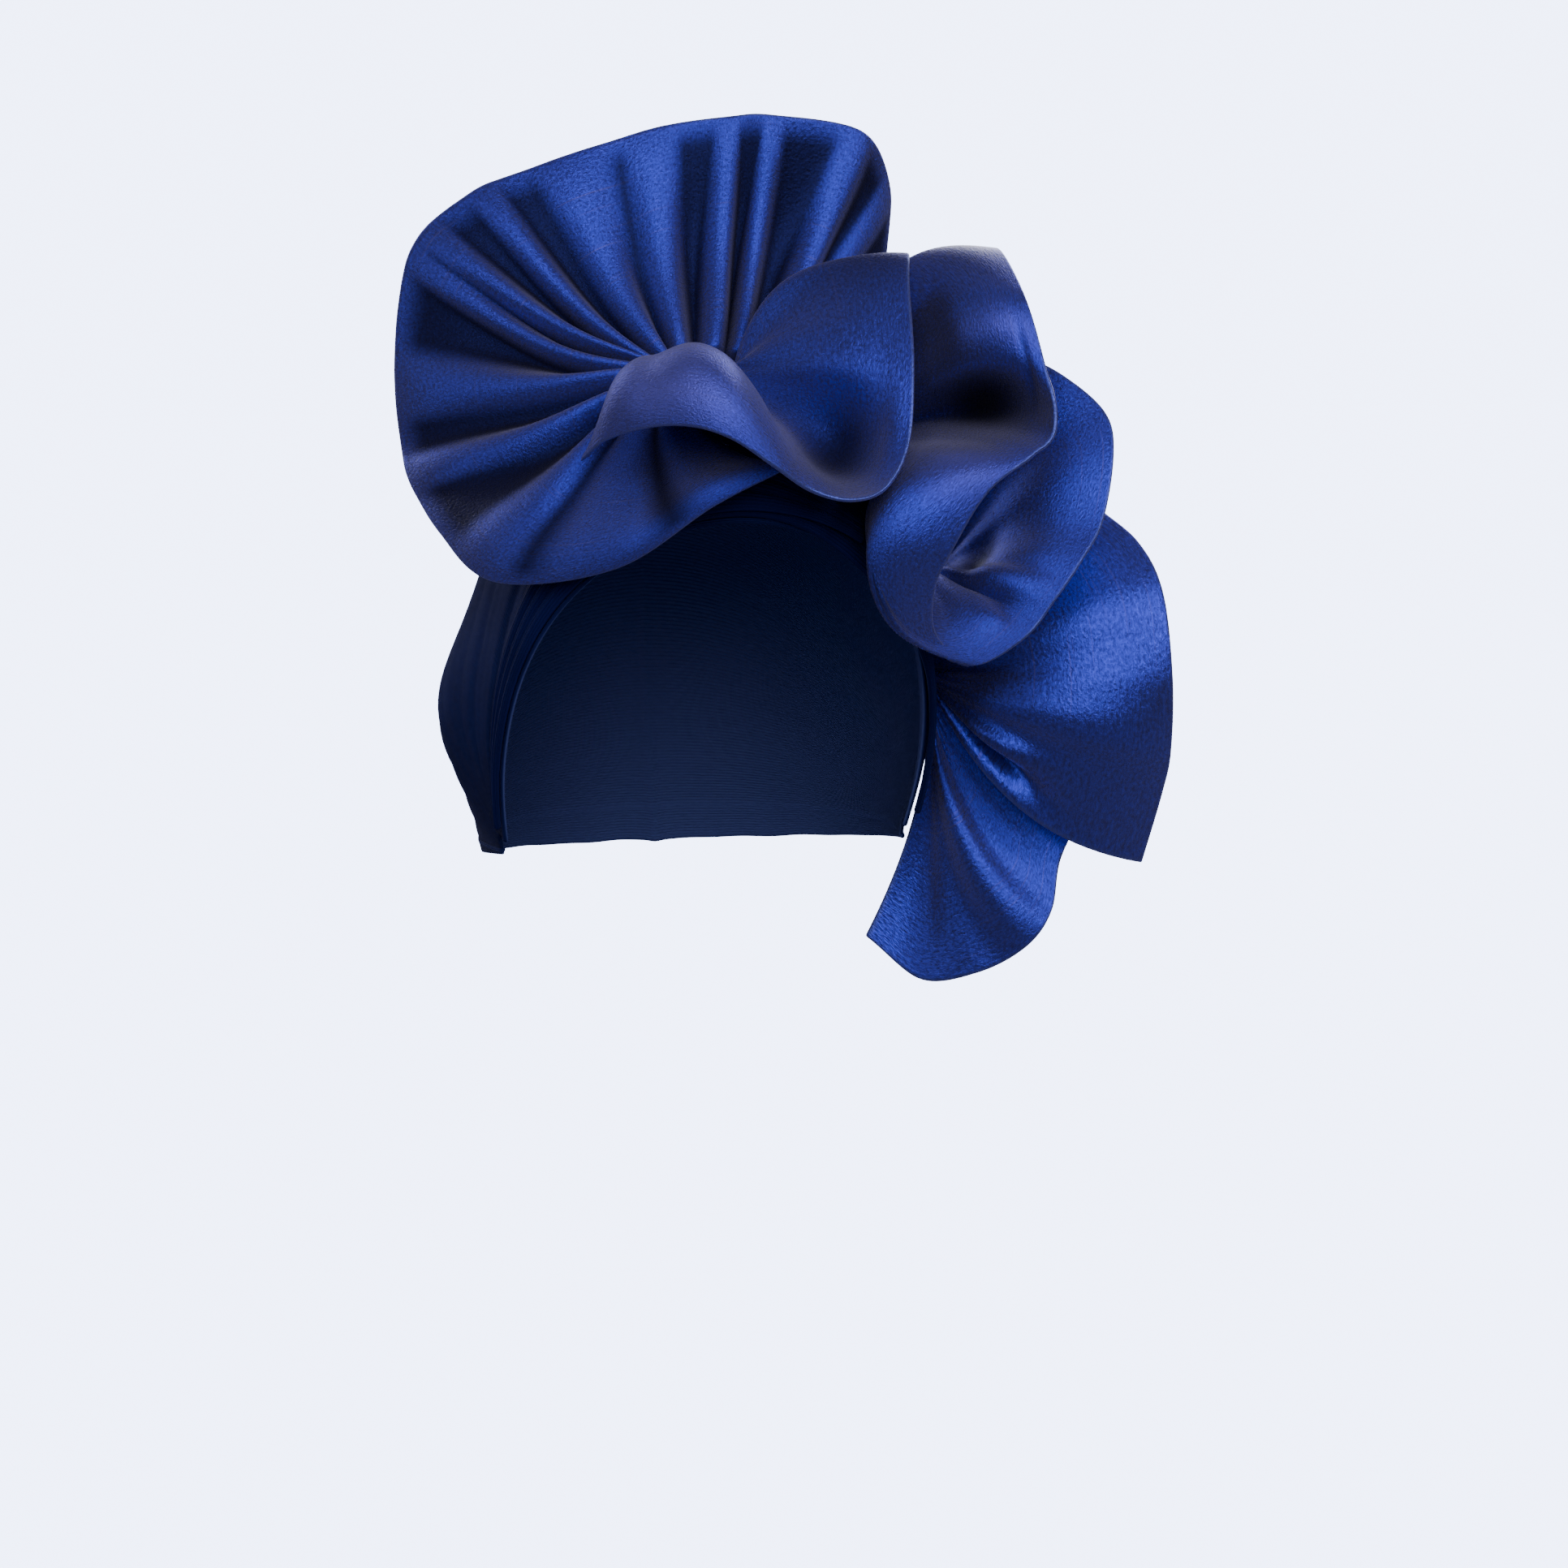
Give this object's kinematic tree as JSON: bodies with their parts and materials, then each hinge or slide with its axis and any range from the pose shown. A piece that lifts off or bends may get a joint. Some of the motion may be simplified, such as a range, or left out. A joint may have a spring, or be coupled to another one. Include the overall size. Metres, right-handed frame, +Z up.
{
  "type": "tied gele head tie",
  "caption": "Tied head tie: a close matt cap with folded brow bands, and a gathered ruffle of stiff navy satin at its front and left side.",
  "frame": {"origin": "centre of the head, on its axis at eyebrow height", "axes": "the wearer faces -Y, +Z is up, +X is the wearer's left"},
  "size_m": [0.2243, 0.2028, 0.2604],
  "materials": {
    "cap_jersey": "matt stretch jersey",
    "band_jersey": "matt stretch jersey, folded",
    "ruffle_satin": "stiff satin with a soft sheen"
  },
  "bodies": {
    "root": {"cap": "cap_jersey", "brow_band_left": "band_jersey", "brow_band_right": "band_jersey", "fan_ruffle": "ruffle_satin", "front_curl": "ruffle_satin", "side_scroll": "ruffle_satin", "side_flap": "ruffle_satin", "tail_flap": "ruffle_satin"}
  },
  "joints": []
}
